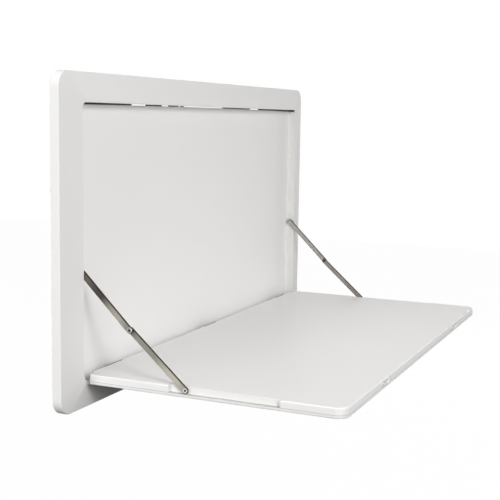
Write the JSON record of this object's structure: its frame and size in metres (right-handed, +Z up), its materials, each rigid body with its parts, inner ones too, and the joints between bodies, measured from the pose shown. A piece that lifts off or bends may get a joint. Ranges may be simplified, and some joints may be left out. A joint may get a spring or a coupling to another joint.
{
  "type": "wall-mounted fold-down table",
  "caption": "Fold-down table in a shallow rounded wall frame, hung on two folding stays, with spring catches at its front edge.",
  "frame": {"origin": "middle of the frame's back, on the wall plane", "axes": "+X along the wall to the right as seen from the room, +Y into the wall, +Z up; the table is open at rest"},
  "size_m": [0.94, 0.4339, 0.5],
  "materials": {
    "frame_plastic": "satin moulded",
    "panel_plastic": "satin moulded",
    "table_plastic": "satin moulded, fine grain",
    "dark_plastic": "matt",
    "latch_plastic": "satin",
    "stay_steel": "brushed along the arm",
    "pin_steel": "plated",
    "leaf_paint": "black paint, satin",
    "insert_brass": "turned",
    "core_foam": "foam"
  },
  "bodies": {
    "frame": {"wall_frame": "frame_plastic", "back_panel": "panel_plastic", "strike_rail": "dark_plastic", "hinge_block_left": "frame_plastic", "hinge_block_centre": "frame_plastic", "hinge_block_right": "frame_plastic", "hinge_pins": "pin_steel", "panel_screws": "pin_steel", "rail_screws": "pin_steel", "hinge_block_screws": "pin_steel", "threaded_inserts": "insert_brass", "left_strike": "pin_steel", "right_strike": "pin_steel", "left_stay_stud": "pin_steel", "right_stay_stud": "pin_steel", "left_wall_washer": "pin_steel", "right_wall_washer": "pin_steel"},
    "table": {"table_top": "table_plastic", "table_base": "table_plastic", "table_core": "core_foam", "table_screws": "pin_steel", "table_leaf_left": "leaf_paint", "table_leaf_centre": "leaf_paint", "table_leaf_right": "leaf_paint", "table_leaf_screws": "pin_steel", "left_table_rivet": "pin_steel", "right_table_rivet": "pin_steel", "left_table_washer": "pin_steel", "right_table_washer": "pin_steel", "left_latch_housing": "latch_plastic", "right_latch_housing": "latch_plastic", "left_latch_spring": "pin_steel", "right_latch_spring": "pin_steel"},
    "left_upper": {"left_upper_arm": "stay_steel", "left_middle_rivet": "pin_steel"},
    "right_upper": {"right_upper_arm": "stay_steel", "right_middle_rivet": "pin_steel"},
    "left_lower": {"left_lower_arm": "stay_steel", "left_rivet_tail": "pin_steel"},
    "right_lower": {"right_lower_arm": "stay_steel", "right_rivet_tail": "pin_steel"},
    "left_bolt": {"left_latch_bolt": "latch_plastic"},
    "right_bolt": {"right_latch_bolt": "latch_plastic"}
  },
  "joints": [
    {"name": "table_fold", "type": "hinge", "parent": "frame", "child": "table", "pos_m": [0, -0.01935, -0.20705], "axis": [-1, 0, 0], "range_deg": [0, 90]},
    {"name": "left_upper_swing", "type": "hinge", "parent": "frame", "child": "left_upper", "pos_m": [-0.417, -0.0126, -0.03805], "axis": [-1, 0, 0], "range_deg": [0, 134.2]},
    {"name": "right_upper_swing", "type": "hinge", "parent": "frame", "child": "right_upper", "pos_m": [0.417, -0.0126, -0.03805], "axis": [-1, 0, 0], "range_deg": [0, 134.2]},
    {"name": "left_lower_swing", "type": "hinge", "parent": "table", "child": "left_lower", "pos_m": [-0.415, -0.18835, -0.2003], "axis": [1, 0, 0], "range_deg": [0, 138.8]},
    {"name": "right_lower_swing", "type": "hinge", "parent": "table", "child": "right_lower", "pos_m": [0.415, -0.18835, -0.2003], "axis": [1, 0, 0], "range_deg": [0, 138.8]},
    {"name": "left_latch_slide", "type": "slide", "parent": "table", "child": "left_bolt", "axis": [0, 1, 0], "range_m": [0, 0.004], "stiffness_N_per_m": 300, "springref_m": -0.004, "deforming": ["left_latch_spring"]},
    {"name": "right_latch_slide", "type": "slide", "parent": "table", "child": "right_bolt", "axis": [0, 1, 0], "range_m": [0, 0.004], "stiffness_N_per_m": 300, "springref_m": -0.004, "deforming": ["right_latch_spring"]}
  ],
  "couplings": [
    {"joint": "left_upper_swing", "follows": "table_fold", "ratio": 1.4906},
    {"joint": "right_upper_swing", "follows": "table_fold", "ratio": 1.4906},
    {"joint": "left_lower_swing", "follows": "table_fold", "ratio": 1.5414},
    {"joint": "right_lower_swing", "follows": "table_fold", "ratio": 1.5414}
  ]
}
